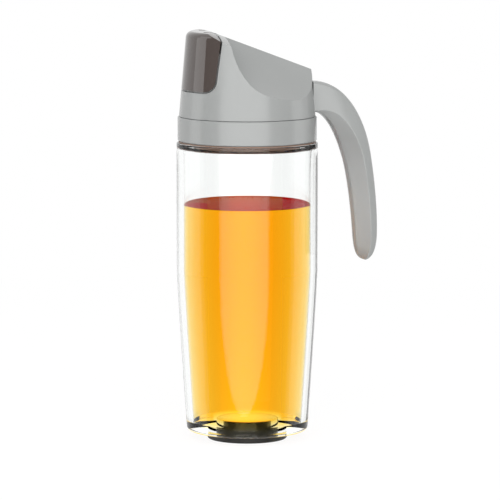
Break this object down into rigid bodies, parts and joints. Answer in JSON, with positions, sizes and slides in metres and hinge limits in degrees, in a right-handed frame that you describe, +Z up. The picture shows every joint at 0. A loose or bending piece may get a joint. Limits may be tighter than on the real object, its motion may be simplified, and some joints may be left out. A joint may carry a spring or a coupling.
{
  "type": "oil dispenser bottle",
  "caption": "Cooking oil bottle: clear glass body on a soft foot, screw-on grey pouring head with a gravity-closed front flap and a side handle.",
  "frame": {"origin": "centre of the foot's underside, on the bottle's axis", "axes": "+Z up along the bottle's axis, +X towards the handle, the spout and flap face -X"},
  "size_m": [0.1136, 0.08, 0.2323],
  "materials": {
    "clear_glass": "gloss",
    "oil": "gloss",
    "dark_silicone": "matte",
    "tan_silicone": "satin",
    "pale_silicone": "satin",
    "grey_plastic": "satin",
    "dark_plastic": "satin",
    "brown_plastic": "gloss",
    "steel": "brushed"
  },
  "bodies": {
    "bottle": {"glass_bottle": "clear_glass", "oil_fill": "oil", "base_pad": "dark_silicone", "neck_ring": "tan_silicone"},
    "seal": {"mouth_gasket": "pale_silicone"},
    "lid": {"collar": "grey_plastic", "spout_plate": "dark_plastic", "head_screws": "steel", "head_shell": "grey_plastic", "hinge_pin": "steel", "handle_shell": "grey_plastic", "handle_cover": "grey_plastic", "handle_clamp": "steel", "handle_screws": "steel"},
    "flap": {"flap_shell": "brown_plastic", "stopper_holder": "brown_plastic", "stopper": "pale_silicone", "flap_weight": "steel"}
  },
  "joints": [
    {"name": "lid_turn", "type": "hinge", "parent": "seal", "child": "lid", "pos_m": [0, 0, 0.18], "axis": [0, 0, 1], "range_deg": [0, 720]},
    {"name": "lid_lift", "type": "slide", "parent": "bottle", "child": "seal", "axis": [0, 0, 1], "range_m": [0, 0.0121]},
    {"name": "flap_hinge", "type": "hinge", "parent": "lid", "child": "flap", "pos_m": [-0.02252, 0, 0.2287], "axis": [0, 1, 0], "range_deg": [0, 70]}
  ],
  "couplings": [
    {"joint": "lid_lift", "follows": "lid_turn", "m_per_rad": 0.00095493}
  ]
}
